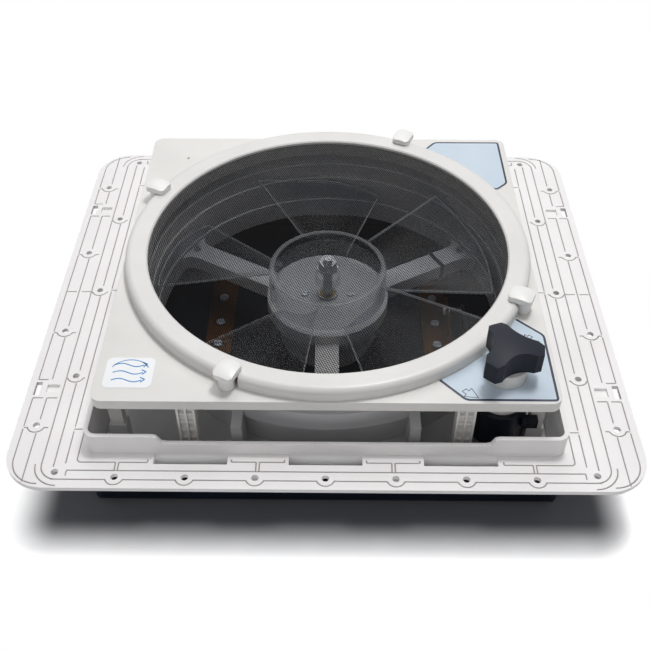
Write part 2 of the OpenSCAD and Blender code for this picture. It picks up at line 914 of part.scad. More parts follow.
module cheek_plan() {
  difference() {
    union() {
      translate([gear_front, -50]) square([23.5, 40]);
      translate([gear_front, -40]) square([pivot_y - gear_front, 30]);
      translate([pivot_y, pivot_z]) circle(8);
      translate([pivot_y - 13, pivot_z - 8]) square([13, 12]);
    }
    translate([pivot_y, pivot_z]) circle(3);
  }
}

module gear_housing() {
  color("#0B0E1A")
    difference() {
      union() {
        translate([knob_x, knob_y, 0]) {
          tube(boss_radius + 4.3, boss_radius + 0.3, -11, 21);
          tube(boss_radius + 1, spindle_radius + running_fit, boss_bottom - 3.3, boss_bottom - 0.3);
          block(boss_radius - 2.5, boss_radius + 9.5, -19, -12.5, 8, 16);
          difference() {
            post(boss_radius + 4, -12, -9);
            block(-10.4, 10.4, -12, 40, -13, -8);
            post(9, -13, -8);
          }
        }
        in_yz(cheek_left - cheek_thickness, cheek_left) cheek_plan();
        in_yz(cheek_right, cheek_right + cheek_thickness) cheek_plan();
        block(cheek_left - 1, cheek_right + 1, gear_front, gear_front + 3, -50, -10);
        block(cheek_left - 1, cheek_right + 1, gear_front, gear_front + 23, -50, -47);
      }
      translate([knob_x, knob_y, 0]) {
        post(spindle_tip_radius + running_fit, -51, -46);
        on_circle(3, 10, 90) post(1.6, boss_bottom - 4, boss_bottom);
        post(boss_radius + 0.3, boss_bottom - 0.3, 22);
      }
    }
}

module gear_housing_screws() {
  color("#B9BCC0")
    translate([knob_x, knob_y, 0])
      on_circle(3, 10, 90)
        translate([0, 0, boss_bottom - 3.3]) screw_up(2.8, 1.8, 1.18, 11);
}

module lift_pivot_pin() {
  color("#A9ACB0")
    translate([0, pivot_y, pivot_z]) {
      along_x(cheek_left - cheek_thickness - 0.8, cheek_right + cheek_thickness + 0.8, 3);
      along_x(cheek_left - cheek_thickness - 2, cheek_left - cheek_thickness, 4.5);
    }
}

module worm_wheel() {
  steps = wheel_teeth * 8;
  color("#C9A24A")
    difference() {
      union() {
        in_yz(wheel_x - wheel_width / 2, wheel_x + wheel_width / 2)
          translate([pivot_y, pivot_z])
            polygon([
              for (i = [0 : steps - 1])
                let (a = i * 360 / steps, r = wheel_mean_radius + thread_depth * cos(a * wheel_teeth))
                [-r * cos(a), r * sin(a)]
            ]);
        translate([0, pivot_y, pivot_z])
          along_x(lift_arm_x + lift_arm_thickness, cheek_right - cheek_gap, 7);
      }
      translate([0, pivot_y, pivot_z]) along_x(cheek_left - 1, cheek_right + 1, 3 + running_fit);
    }
}

module lift_arm_plan() {
  a = 9;
  b = 5.5;
  lean = asin((a - b) / lift_arm_length);
  circle(a);
  translate([lift_arm_length, 0]) circle(b);
  polygon([
    [a * sin(lean), a * cos(lean)], [lift_arm_length + b * sin(lean), b * cos(lean)],
    [lift_arm_length + b * sin(lean), -b * cos(lean)], [a * sin(lean), -a * cos(lean)]
  ]);
}

module lift_arm() {
  tip = [0, roller_y, roller_line];
  color("#1C1F26")
    difference() {
      union() {
        in_yz(lift_arm_x, lift_arm_x + lift_arm_thickness)
          translate([pivot_y, pivot_z]) rotate(-arm_drop) lift_arm_plan();
        translate(tip) {
          along_x(rail_x - 3, lift_arm_x + 1, 2);
          along_x(rail_x + 4.4, lift_arm_x + 1, 3.2);
          along_x(rail_x - 3.8, rail_x - 2.4, 3);
        }
      }
      translate([0, pivot_y, pivot_z]) along_x(cheek_left - 1, cheek_right + 1, 3 + running_fit);
    }
}

module lift_roller() {
  color("#E9E6DC")
    translate([0, roller_y, roller_line])
      difference() {
        along_x(rail_x - 2, rail_x + 4, roller_radius);
        along_x(rail_x - 3, rail_x + 5, 2 + running_fit);
      }
}

module lift_worm() {
  turns = 4.75;
  slices = 46;
  sides = 20;
  bore = (spindle_tip_radius + 0.02) / cos(180 / sides + 180 * turns / slices);
  color("#B9BCC0")
    translate([knob_x, knob_y, pivot_z])
      rotate([0, 0, turns * 180])
        linear_extrude(turns * worm_lead, center = true, twist = turns * 360, slices = slices, $fn = sides)
          difference() {
            translate([0, -thread_depth]) circle(worm_mean_radius, $fn = sides);
            circle(bore, $fn = sides);
          }
}

module knob_spindle() {
  color("#B9BCC0")
    translate([knob_x, knob_y, 0]) {
      post(spindle_tip_radius, -49.5, -22);
      post(spindle_radius, -24, grip_top - 8);
    }
}

module knob_plan() {
  half_flat = 11.5;
  hollow = 21;
  waist = 12;
  difference() {
    polygon([
      for (a = [110, 230, 350], s = [-half_flat, half_flat])
        [knob_reach * cos(a + s), knob_reach * sin(a + s)]
    ]);
    for (a = [50, 170, 290])
      rotate(a) translate([waist + hollow, 0]) circle(hollow);
  }
}

module knob() {
  dome = 70;
  color("#1B2230")
    translate([knob_x, knob_y, 0])
      difference() {
        intersection() {
          translate([0, 0, grip_bottom]) linear_extrude(knob_grip_height) knob_plan();
          translate([0, 0, grip_top - dome]) sphere(dome);
        }
        post(spindle_radius, grip_bottom - 1, grip_top - 8);
      }
}

// Hinge under the front edge of the flange

module hinge_brackets() {
  color("#B9BCC0")
    both_sides()
      difference() {
        union() {
          block(hinge_spot - 19.5, hinge_spot + 19.5, hinge_y - 5, hinge_y + 10.5,
            -flange_thickness - 2, -flange_thickness);
          for (s = [-1, 1])
            translate([hinge_spot + s * 13.45, 0, 0]) {
              block(-6.05, 6.05, hinge_y - 3.5, hinge_y + 3.5, hinge_z, -flange_thickness - 1);
              translate([0, hinge_y, hinge_z]) along_x(-6.05, 6.05, hinge_radius);
            }
        }
        translate([0, hinge_y, hinge_z]) along_x(hinge_spot - 30, hinge_spot + 30, 2);
      }
}

module hinge_pins() {
  color("#A9ACB0")
    both_sides()
      translate([hinge_spot, hinge_y, hinge_z]) {
        along_x(-19.5, 20.5, 2);
        along_x(19.5, 20.9, 3.2);
      }
}

module hinge_leaves() {
  face = -lid_half_y - 1;
  color("#B9BCC0")
    both_sides()
      difference() {
        union() {
          block(hinge_spot - 17, hinge_spot + 17, face - 1.5, face, -33, -18);
          block(hinge_spot - knuckle_half, hinge_spot + knuckle_half, face - 1.5, face, -19, hinge_z);
          translate([0, hinge_y, hinge_z])
            along_x(hinge_spot - knuckle_half, hinge_spot + knuckle_half, hinge_radius);
          for (s = [-11, 11])
            translate([hinge_spot + s, face - 1, -26]) rotate([90, 0, 0]) cylinder(r = 2.6, h = 1.7);
        }
        translate([0, hinge_y, hinge_z])
          along_x(hinge_spot - 30, hinge_spot + 30, 2 + running_fit);
      }
}

// Fan

function blade_angle(j, steps) = blade_sweep * (j / steps - 0.5);
function blade_rise(j, steps) =
  blade_low + (blade_high - blade_low) * (j / steps + 0.09 * sin(360 * j / steps));
function blade_half(j, steps) = blade_thickness / 2 * (j == steps / 2 ? 1.5 : 1);

module blade() {
  spans = 6;
  steps = 14;
  first = hub_radius - 1.5;
  row = steps + 1;
  count = (spans + 1) * row;
  skin = [
    for (side = [1, -1], i = [0 : spans], j = [0 : steps])
      let (r = first + (blade_tip_radius - first) * i / spans, a = blade_angle(j, steps))
      [r * cos(a), r * sin(a), blade_rise(j, steps) + side * blade_half(j, steps)]
  ];
  top = [
    for (i = [0 : spans - 1], j = [0 : steps - 1])
      let (p = i * row + j) each [[p, p + row, p + row + 1], [p, p + row + 1, p + 1]]
  ];
  under = [for (f = top) [f[0] + count, f[2] + count, f[1] + count]];
  edge = concat(
    [for (j = [0 : steps]) j],
    [for (i = [1 : spans]) i * row + steps],
    [for (j = [1 : steps]) spans * row + steps - j],
    [for (i = [1 : spans - 1]) (spans - i) * row]
  );
  rim = len(edge);
  sides = [
    for (k = [0 : rim - 1])
      let (p = edge[k], q = edge[(k + 1) % rim])
      each [[p, q, q + count], [p, q + count, p + count]]
  ];
  polyhedron(
    points = skin,
    faces = concat([for (f = top) [f[0], f[2], f[1]]], [for (f = under) [f[0], f[2], f[1]]],
      [for (f = sides) [f[0], f[2], f[1]]])
  );
}

module hub_section() {
  r = hub_radius;
  polygon([
    [shaft_radius, 12], [10.7, 12], [10.7, hub_floor - 2.2], [r - 7, hub_floor - 2.2],
    [r - 2.4, hub_floor - 4], [r - 2.4, hub_bottom], [r, hub_bottom], [r, hub_top - 3],
    [r - 3, hub_top], [r - 4.2, hub_top], [r - 6.5, hub_top - 2.5], [r - 8, hub_floor],
    [10.7, hub_floor], [10.7, 27], [shaft_radius, 27]
  ]);
  intersection() {
    translate([r - 3, hub_top - 3]) circle(3, $fn = 48);
    translate([r - 3, hub_top - 3]) square(3);
  }
}

module fan_rotor() {
  color("#A8ABB0") {
    rotate_extrude($fn = 120) hub_section();
    on_circle(blade_count, 0, 22) blade();
  }
}

module motor_shaft() {
  color("#C7CACE")
    post(shaft_radius, case_bottom - 5.5, 38.5);
}

module shaft_washer() {
  color("#B9BCC0") tube(9, shaft_radius, 27, 28.4);
}

module shaft_nut() {
  color("#9EA1A5")
    difference() {
      translate([0, 0, 28.4]) cylinder(r = 8, h = 6.2, $fn = 6);
      post(shaft_radius, 28, 35);
    }
}

module armature() {
  color("#6E4A2C")
    difference() {
      post(24.5, case_bottom + 8, case_top - 8);
      post(shaft_radius, case_bottom, case_top);
      on_circle(9, 24, 0) post(2.4, case_bottom, case_top);
    }
}

module commutator() {
  color("#B87333")
    difference() {
      post(10, case_bottom + 1.5, case_bottom + 6);
      post(shaft_radius, case_bottom, case_top);
      on_circle(12, 10, 15) post(0.3, case_bottom, case_top);
    }
}

// Lid with its seal, strap and lift track

module lid_profile(half, inset) {
  r = lid_round - inset;
  c = half - 18;
  z = lid_bottom + lid_round;
  slope = atan(lid_draft / 38);
  side_x = c + r * cos(slope);
  side_z = z - r * sin(slope);
  rim_x = side_x + (lid_rim + 1 - side_z) * tan(slope);
  polygon([
    [-rim_x, lid_rim + 1], [rim_x, lid_rim + 1], [side_x, side_z],
    [c, z - r], [-c, z - r], [-side_x, side_z]
  ]);
  for (s = [-1, 1])
    translate([s * c, z]) circle(r);
}

module lid_solid(inset, top) {
  intersection() {
    rounded_block(2 * (lid_half_x + 1 - inset), 2 * (lid_half_y + 1 - inset), lid_corner - inset,
      lid_bottom - 1, top);
    rotate([90, 0, 0]) linear_extrude(2 * lid_half_y + 10, center = true) lid_profile(lid_half_x, inset);
    rotate([90, 0, 90]) linear_extrude(2 * lid_half_x + 10, center = true) lid_profile(lid_half_y, inset);
  }
}

module lid_shell() {
  color("#2E3442")
    difference() {
      union() {
        lid_solid(0, lid_rim);
        both_sides()
          block(hinge_spot - 18, hinge_spot + 18, -lid_half_y - 1, -lid_half_y + 6, -34, -17.5);
      }
      lid_solid(lid_wall, lid_rim + 1);
      translate([0, 0, lid_bottom - 1])
        linear_extrude(1.6)
          difference() {
            rounded_rect(2 * lid_half_x - 70, 2 * lid_half_y - 70, 24);
            rounded_rect(2 * lid_half_x - 78, 2 * lid_half_y - 78, 20);
          }
      both_sides()
        for (y = strap_screw_spots)
          translate([track_x, y, 0]) post(1.9, lid_bottom + 1, lid_inner + 1);
    }
}

module seal_profile(half) {
  foot = half - 18.2;
  polygon([[-foot, lid_inner], [foot, lid_inner], [foot + 9, -curb_depth], [-foot - 9, -curb_depth]]);
}

module lid_seal() {
  color("#2A2A2C")
    difference() {
      intersection() {
        rounded_block(wall_length, wall_depth - 3, curb_corner + 3, lid_inner, -curb_depth - 0.3);
        rotate([90, 0, 0]) linear_extrude(2 * lid_half_y, center = true) seal_profile(lid_half_x);
        rotate([90, 0, 90]) linear_extrude(2 * lid_half_x, center = true) seal_profile(lid_half_y);
      }
      rounded_block(2 * wall_half_x - 17, 2 * wall_half_y - 17, 3, lid_inner - 1, 0);
    }
}

module strap_plate() {
  difference() {
    block(track_x - track_width / 2, track_x + track_width / 2, track_front, track_back,
      lid_inner, lid_inner + 2);
    for (y = strap_screw_spots)
      translate([track_x, y, 0]) post(1.9, lid_inner - 1, lid_inner + 3);
  }
}

module lid_strap() {
  color("#5A3A1E") mirror([1, 0, 0]) strap_plate();
}

module lift_track() {
  slot = roller_radius + slot_play;
  color("#5A3A1E") {
    strap_plate();
    difference() {
      block(rail_x, rail_x + 2, track_front, slot_back + 9, lid_inner, roller_line + slot + 3);
      in_yz(rail_x - 1, rail_x + 3) {
        translate([slot_front, roller_line - slot]) square([slot_back - slot_front, 2 * slot]);
        translate([slot_front, roller_line]) circle(slot);
        translate([slot_back, roller_line]) circle(slot);
      }
    }
  }
}

module strap_screws() {
  color("#D9DBDE")
    both_sides()
      for (y = strap_screw_spots)
        translate([track_x, y, lid_inner + 2]) mirror([0, 0, 1]) screw_up(4, 2.2, 1.88, 3.8);
}

// Which pieces are shown

roof_flange();
fan_duct();
duct_floor();
ceiling_panel();
panel_screws();
screen_frame();
insect_screen();
knob_label();
blank_label();
airflow_badge();
knob_collar();
motor_spider();
spider_screws();
motor_case();
motor_magnets();
motor_end_cap();
brush_holder();
front_bush();
rear_bush();
motor_screws();
motor_cover();
motor_lead();
wire_grommet();
lead_plug();
cable_tie();
gear_housing();
gear_housing_screws();
lift_pivot_pin();
hinge_brackets();
hinge_pins();
fan_rotor();
motor_shaft();
shaft_washer();
shaft_nut();
armature();
commutator();
lid_shell();
lid_seal();
lid_strap();
lift_track();
strap_screws();
hinge_leaves();
knob();
knob_spindle();
lift_worm();
lift_arm();
worm_wheel();
lift_roller();
turn_button_1();
turn_button_2();
turn_button_3();
turn_button_4();
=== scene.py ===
import math

import bmesh
import bpy
from mathutils import Matrix, Vector


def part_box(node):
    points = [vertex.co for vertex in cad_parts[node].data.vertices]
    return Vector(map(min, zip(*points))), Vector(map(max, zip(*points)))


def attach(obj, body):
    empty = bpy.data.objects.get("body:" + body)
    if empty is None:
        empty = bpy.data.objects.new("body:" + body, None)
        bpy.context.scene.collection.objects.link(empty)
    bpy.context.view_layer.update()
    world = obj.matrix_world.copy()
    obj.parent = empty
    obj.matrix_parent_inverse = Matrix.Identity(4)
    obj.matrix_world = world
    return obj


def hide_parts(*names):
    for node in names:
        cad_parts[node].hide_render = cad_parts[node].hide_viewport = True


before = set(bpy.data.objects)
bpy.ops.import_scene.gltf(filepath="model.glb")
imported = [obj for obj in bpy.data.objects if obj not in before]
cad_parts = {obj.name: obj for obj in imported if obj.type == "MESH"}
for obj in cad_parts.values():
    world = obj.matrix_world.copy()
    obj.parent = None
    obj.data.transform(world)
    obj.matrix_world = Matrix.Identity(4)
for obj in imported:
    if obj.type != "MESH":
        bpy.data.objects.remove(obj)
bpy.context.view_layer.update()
scene = bpy.context.scene
scene.view_settings.view_transform = "Standard"
mm = 0.001

# Studio floor and backdrop
# A sheet of matt white paper that the vent lies on, lid down. Close round the vent it is
# painted dark grey as painted shade. A second sheet hangs lower and takes its place once the lid
# has opened through it. Each shows to the camera only near the vent.


def srgb(code):
    """A hex colour as the linear numbers that the shader takes."""
    channels = [int(code[i:i + 2], 16) / 255 for i in (1, 3, 5)]
    return [c / 12.92 if c <= 0.04045 else ((c + 0.055) / 1.055) ** 2.4 for c in channels] + [1.0]


def add(tree, kind, inputs=None, **settings):
    """One node with its settings, its values and its links. A node stands for its first output."""
    node = tree.nodes.new(kind)
    for name, value in settings.items():
        setattr(node, name, value)
    for name, value in (inputs or {}).items():
        if isinstance(value, bpy.types.Node):
            value = value.outputs[0]
        if isinstance(value, bpy.types.NodeSocket):
            tree.links.new(value, node.inputs[name])
        else:
            node.inputs[name].default_value = value
    return node


def new_material(name):
    """An empty node material."""
    material = bpy.data.materials.new(name)
    material.use_nodes = True
    material.node_tree.nodes.clear()
    return material, material.node_tree


def new_piece(name, verts, faces, material):
    """A mesh piece from points in millimetres."""
    mesh = bpy.data.meshes.new(name)
    mesh.from_pydata([Vector(v) * mm for v in verts], [], faces)
    mesh.update()
    piece = bpy.data.objects.new(name, mesh)
    scene.collection.objects.link(piece)
    piece.data.materials.append(material)
    return piece


table_z = -62.0
lower_z = -352.0
shaded_half = {"X": 205, "Y": 192}
table_fade, lower_fade = 44, 320
lid_moved = 1.0
fully_clear, white_lift = 0.99, 0.7
paper, tree = new_material("matt_white_paper")
to_camera = add(tree, "ShaderNodeLightPath").outputs["Is Camera Ray"]
place = add(tree, "ShaderNodeTexCoord").outputs["Object"]
split = add(tree, "ShaderNodeSeparateXYZ", {"Vector": place})
on_lower = add(tree, "ShaderNodeMath", {
    0: split.outputs["Z"], 1: (table_z - 1) * mm}, operation="LESS_THAN")
from_lid = add(tree, "ShaderNodeTexCoord", object=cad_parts["lid_shell"]).outputs["Object"]
shift = add(tree, "ShaderNodeVectorMath", {0: place, 1: from_lid}, operation="DISTANCE").outputs["Value"]
lid_open = add(tree, "ShaderNodeMath", {0: shift, 1: lid_moved * mm}, operation="GREATER_THAN")
put_away = add(tree, "ShaderNodeMath", {0: lid_open, 1: on_lower}, operation="SUBTRACT")
put_away = add(tree, "ShaderNodeMath", {0: put_away}, operation="ABSOLUTE")
beyond = []
for axis, half in shaded_half.items():
    past = add(tree, "ShaderNodeMath", {0: split.outputs[axis]}, operation="ABSOLUTE")
    past = add(tree, "ShaderNodeMath", {0: past, 1: half * mm}, operation="SUBTRACT")
    past = add(tree, "ShaderNodeMath", {0: past, 1: 0.0}, operation="MAXIMUM")
    beyond.append(add(tree, "ShaderNodeMath", {0: past, 1: 2.0}, operation="POWER"))
away = add(tree, "ShaderNodeMath", {0: beyond[0], 1: beyond[1]}, operation="ADD")
away = add(tree, "ShaderNodeMath", {0: away}, operation="SQRT")
fade = add(tree, "ShaderNodeMapRange", {
    "Value": on_lower, "To Min": table_fade * mm, "To Max": lower_fade * mm})
clear_of = add(tree, "ShaderNodeMapRange", {
    "Value": away, "From Min": 2 * mm, "From Max": fade}, interpolation_type="SMOOTHSTEP")
grain = add(tree, "ShaderNodeTexNoise", {"Vector": place, "Scale": 1 / (4 * mm), "Detail": 3.0})
tint = add(tree, "ShaderNodeMix", {0: grain, 6: srgb("#E9E9EA"), 7: srgb("#F4F4F4")}, data_type="RGBA")
# Close round the vent the upper sheet is painted dark grey (#6E6F73) as painted shade; the lower sheet
# stays pale.
beyond_painted_shade = add(tree, "ShaderNodeMath", {0: clear_of, 1: on_lower}, operation="MAXIMUM")
tint = add(tree, "ShaderNodeMix", {0: beyond_painted_shade, 6: srgb("#6E6F73"), 7: tint.outputs[2]}, data_type="RGBA")
surface = add(tree, "ShaderNodeBsdfPrincipled", {
    "Base Color": tint.outputs[2], "Roughness": 0.9, "Specular IOR Level": 0.1})
# The camera-only white glow fades out close round the vent, so the painted shade and the real shadow show
# there.
lift = add(tree, "ShaderNodeMath", {0: clear_of, 1: to_camera}, operation="MULTIPLY")
lift = add(tree, "ShaderNodeMath", {0: lift, 1: white_lift}, operation="MULTIPLY")
glow = add(tree, "ShaderNodeEmission", {"Color": srgb("#FFFFFF"), "Strength": lift})
lit = add(tree, "ShaderNodeAddShader", {0: surface, 1: glow})
from_below = add(tree, "ShaderNodeNewGeometry").outputs["Backfacing"]
unseen = add(tree, "ShaderNodeMath", {0: clear_of, 1: fully_clear}, operation="GREATER_THAN")
unseen = add(tree, "ShaderNodeMath", {0: unseen, 1: from_below}, operation="MAXIMUM")
unseen = add(tree, "ShaderNodeMath", {0: unseen, 1: to_camera}, operation="MULTIPLY")
unseen = add(tree, "ShaderNodeMath", {0: unseen, 1: put_away}, operation="MAXIMUM")
gone = add(tree, "ShaderNodeBsdfTransparent", {"Color": srgb("#FFFFFF")})
shown = add(tree, "ShaderNodeMixShader", {0: unseen, 1: lit, 2: gone})
add(tree, "ShaderNodeOutputMaterial", {"Surface": shown})
reach = 6000
corners = [(-reach, -reach), (reach, -reach), (reach, reach), (-reach, reach)]
paper_floor = new_piece("paper_floor", [(*corner, z) for z in (table_z, lower_z) for corner in corners],
                        [(0, 1, 2, 3), (4, 5, 6, 7)], paper)

world = bpy.data.worlds.new("white_studio")
scene.world = world
world.use_nodes = True
tree = world.node_tree
tree.nodes.clear()
rays = add(tree, "ShaderNodeLightPath")
direct = add(tree, "ShaderNodeMath", {
    0: rays.outputs["Is Camera Ray"], 1: rays.outputs["Is Glossy Ray"]}, operation="MAXIMUM")
direct = add(tree, "ShaderNodeMath", {
    0: direct, 1: rays.outputs["Is Transmission Ray"]}, operation="MAXIMUM")
toward = add(tree, "ShaderNodeTexCoord").outputs["Generated"]
height = add(tree, "ShaderNodeSeparateXYZ", {"Vector": toward}).outputs["Z"]
sky = add(tree, "ShaderNodeMapRange", {
    "Value": height, "From Min": 0.0, "From Max": 0.9, "To Min": 0.05, "To Max": 0.42})
ground = add(tree, "ShaderNodeMapRange", {
    "Value": height, "From Min": -0.25, "From Max": -0.6, "To Min": 0.0, "To Max": 0.5})
strength = add(tree, "ShaderNodeMath", {0: sky, 1: ground}, operation="ADD")
soft = add(tree, "ShaderNodeBackground", {"Color": srgb("#F2F4F8"), "Strength": strength})
white = add(tree, "ShaderNodeBackground", {"Color": srgb("#FFFFFF"), "Strength": 1.0})
backdrop = add(tree, "ShaderNodeMixShader", {0: direct, 1: soft, 2: white})
add(tree, "ShaderNodeOutputWorld", {"Surface": backdrop})

# Lamps
# Two square softboxes above and behind throw the shadow forward under the
# flange, and a weak one in front lifts the knob and the gap under the panel.
for name, place, size, power in [
    ("softbox_back", (-0.1, 1.0, 1.45), 1.0, 6.8),
    ("softbox_top", (0.3, 0.25, 1.6), 0.36, 12.5),
    ("softbox_front", (-0.6, -1.5, 1.1), 1.0, 4.0),
]:
    lamp = bpy.data.lights.new(name, "AREA")
    lamp.size = size
    lamp.energy = power
    holder = bpy.data.objects.new(name, lamp)
    holder.location = place
    holder.rotation_euler = (Vector((0, 0, 0)) - Vector(place)).to_track_quat("-Z", "Y").to_euler()
    scene.collection.objects.link(holder)

# Camera
# Held in front of the vent and above it, looking down at 44 degrees through a
# lens of about 50 mm.
camera_place = (0.00444, -0.58437, 0.53275)
pitch, yaw, roll = math.radians(44.48), math.radians(-0.67), math.radians(-0.10)
ahead = Vector((math.sin(yaw) * math.cos(pitch), math.cos(yaw) * math.cos(pitch), -math.sin(pitch)))
side = Vector((math.cos(yaw), -math.sin(yaw), 0))
up = side.cross(ahead)
side, up = (math.cos(roll) * side + math.sin(roll) * up, -math.sin(roll) * side + math.cos(roll) * up)
lens = bpy.data.cameras.new("camera")
lens.sensor_width = 36
lens.lens = 49.85
lens.clip_start = 0.01
camera = bpy.data.objects.new("camera", lens)
turn = Matrix((side, up, -ahead)).transposed().to_4x4()
camera.matrix_world = Matrix.Translation(camera_place) @ turn
scene.collection.objects.link(camera)
scene.camera = camera

# Roof flange
# The flange with its upright wall is one injection moulding in white ABS, matt
# from the tool's fine spark-eroded grain. The floors of the engraved lines that
# spread the sealant are painted greyer, as painted shade.


def moulded(name, low, high, roughness, grit=0.5, depth=0.012, coat=0.0, shine=0.5):
    """Moulded plastic: faint flow clouds, and a grain from the tool, drawn coarse enough to show."""
    material, tree = new_material(name)
    place = add(tree, "ShaderNodeTexCoord").outputs["Object"]
    flow = add(tree, "ShaderNodeTexNoise", {"Vector": place, "Scale": 1 / (60 * mm), "Detail": 4.0})
    speck = add(tree, "ShaderNodeTexNoise", {"Vector": place, "Scale": 1 / (grit * mm), "Detail": 2.0})
    cloud = add(tree, "ShaderNodeMapRange", {"Value": flow, "From Min": 0.3, "From Max": 0.7})
    tint = add(tree, "ShaderNodeMix", {0: cloud, 6: srgb(low), 7: srgb(high)}, data_type="RGBA")
    gloss = add(tree, "ShaderNodeMapRange", {
        "Value": speck, "To Min": roughness - 0.06, "To Max": roughness + 0.06})
    eased = add(tree, "ShaderNodeBevel", {"Radius": 0.5 * mm}, samples=4)
    bump = add(tree, "ShaderNodeBump", {
        "Height": speck, "Strength": 0.35, "Distance": depth * mm, "Normal": eased})
    surface = add(tree, "ShaderNodeBsdfPrincipled", {
        "Base Color": tint.outputs[2], "Roughness": gloss, "Normal": bump, "IOR": 1.52,
        "Specular IOR Level": shine, "Coat Weight": coat})
    add(tree, "ShaderNodeOutputMaterial", {"Surface": surface})
    return material


def dress(node, material):
    """The CAD node with this material in each of its slots."""
    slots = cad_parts[node].data.materials
    if not len(slots):
        slots.append(material)
    for i in range(len(slots)):
        slots[i] = material


flange_abs = moulded("moulded_white_abs", "#F0EDEC", "#F6F4F3", 0.46)
tree = flange_abs.node_tree
groove_top, groove_floor = -0.2, -1.2
place = add(tree, "ShaderNodeTexCoord").outputs["Object"]
height = add(tree, "ShaderNodeSeparateXYZ", {"Vector": place}).outputs["Z"]
normal = add(tree, "ShaderNodeNewGeometry").outputs["True Normal"]
upward = add(tree, "ShaderNodeSeparateXYZ", {"Vector": normal}).outputs["Z"]
below = add(tree, "ShaderNodeMath", {0: height, 1: groove_top * mm}, operation="LESS_THAN")
above = add(tree, "ShaderNodeMath", {0: height, 1: groove_floor * mm}, operation="GREATER_THAN")
level = add(tree, "ShaderNodeMath", {0: upward, 1: 0.5}, operation="GREATER_THAN")
painted_shade_mask = add(tree, "ShaderNodeMath", {0: below, 1: above}, operation="MULTIPLY")
painted_shade_mask = add(tree, "ShaderNodeMath", {0: painted_shade_mask, 1: level}, operation="MULTIPLY")
base = next(n for n in tree.nodes if n.type == "BSDF_PRINCIPLED").inputs["Base Color"]
# The groove floors are painted grey (#A29A99) as painted shade in the lines.
groove_painted_shade = add(tree, "ShaderNodeMix", {
    0: painted_shade_mask, 6: base.links[0].from_socket, 7: srgb("#A29A99")}, data_type="RGBA")
tree.links.new(groove_painted_shade.outputs[2], base)
dress("roof_flange", flange_abs)

# Duct and floor
# The stepped throat, the floor round it and the motor's spider and cover are moulded in white
# polypropylene, a little waxier than ABS. The throat and floor take a darker copy of it, painted
# shade for where they sit in shadow inside the vent.
duct_pp = moulded("moulded_white_polypropylene", "#D9D8D8", "#E4E3E2", 0.4, grit=0.8)
dress("motor_spider", duct_pp)
dress("motor_cover", duct_pp)
# A darker copy of the white polypropylene: painted shade for the throat and floor.
throat_pp_painted_shade = moulded("moulded_white_polypropylene_painted_shade", "#C3C3C5", "#CFCECE", 0.42, grit=0.8)
dress("fan_duct", throat_pp_painted_shade)
dress("duct_floor", throat_pp_painted_shade)

# Room-side panel
# One moulding in ivory ABS, satin, with a lip, posts down to the floor and the
# boss that the knob turns in. Screws through the floor hold its corner posts.
panel_abs = moulded("moulded_ivory_abs", "#DDDBD7", "#E7E5E1", 0.42)
dress("ceiling_panel", panel_abs)

# Screws, pins and hinges
# Cross-head screws and both halves of the hinges are zinc-plated steel, with a
# dull pale bloom. Pins, shafts and the worm are drawn steel, with finer lines.


def plated(name, low, high, roughness, streak):
    """Plated or drawn metal: fine streaks along the part, which mottle its colour and its gloss."""
    material, tree = new_material(name)
    place = add(tree, "ShaderNodeTexCoord").outputs["Object"]
    along = add(tree, "ShaderNodeMapping", {"Vector": place, "Scale": (1.0, 1.0, streak)})
    lines = add(tree, "ShaderNodeTexNoise", {"Vector": along, "Scale": 1 / (0.6 * mm), "Detail": 4.0})
    tint = add(tree, "ShaderNodeMix", {0: lines, 6: srgb(low), 7: srgb(high)}, data_type="RGBA")
    gloss = add(tree, "ShaderNodeMapRange", {
        "Value": lines, "To Min": roughness - 0.08, "To Max": roughness + 0.1})
    bump = add(tree, "ShaderNodeBump", {"Height": lines, "Strength": 0.2, "Distance": 0.01 * mm})
    surface = add(tree, "ShaderNodeBsdfPrincipled", {
        "Base Color": tint.outputs[2], "Roughness": gloss, "Metallic": 1.0, "Normal": bump})
    add(tree, "ShaderNodeOutputMaterial", {"Surface": surface})
    return material


zinc = plated("zinc_plated_steel", "#A9ADB3", "#D2D5D9", 0.32, 0.3)
for name in ["panel_screws", "spider_screws", "motor_screws", "gear_housing_screws", "strap_screws",
             "hinge_brackets", "hinge_leaves"]:
    dress(name, zinc)
steel = plated("drawn_steel", "#9A9DA2", "#C6C9CD", 0.26, 8.0)
for name in ["hinge_pins", "lift_pivot_pin", "motor_shaft", "knob_spindle", "lift_worm",
             "shaft_washer", "shaft_nut"]:
    dress(name, steel)

# Screen frame
# A ring moulded in white ABS, a little glossier than the panel, with a rolled
# rim. It lifts out once the four buttons are turned.
screen_abs = moulded("moulded_screen_abs", "#DAD8D5", "#E4E2DF", 0.38)
dress("screen_frame", screen_abs)

# Insect screen
# Woven glass yarn dipped in charcoal vinyl, near black and matt, held in the
# groove of the frame. It is cut askew from the roll. The yarn and its spacing are
# drawn somewhat coarser than real, so that the weave shows.
vinyl, tree = new_material("vinyl_coated_glass_yarn")
place = add(tree, "ShaderNodeTexCoord").outputs["Object"]
fuzz = add(tree, "ShaderNodeTexNoise", {"Vector": place, "Scale": 1 / (0.7 * mm), "Detail": 2.0})
shade = add(tree, "ShaderNodeValToRGB", {"Fac": fuzz})
shade.color_ramp.elements[0].color = srgb("#020203")
shade.color_ramp.elements[1].color = srgb("#08080A")
bump = add(tree, "ShaderNodeBump", {"Height": fuzz, "Strength": 0.4, "Distance": 0.03 * mm})
surface = add(tree, "ShaderNodeBsdfPrincipled", {
    "Base Color": shade, "Roughness": 0.6, "Specular IOR Level": 0.1, "Normal": bump})
add(tree, "ShaderNodeOutputMaterial", {"Surface": surface})
low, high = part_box("insect_screen")
net_low = low[2] / mm
net_radius = (high[0] - low[0]) / 2 / mm - 0.1
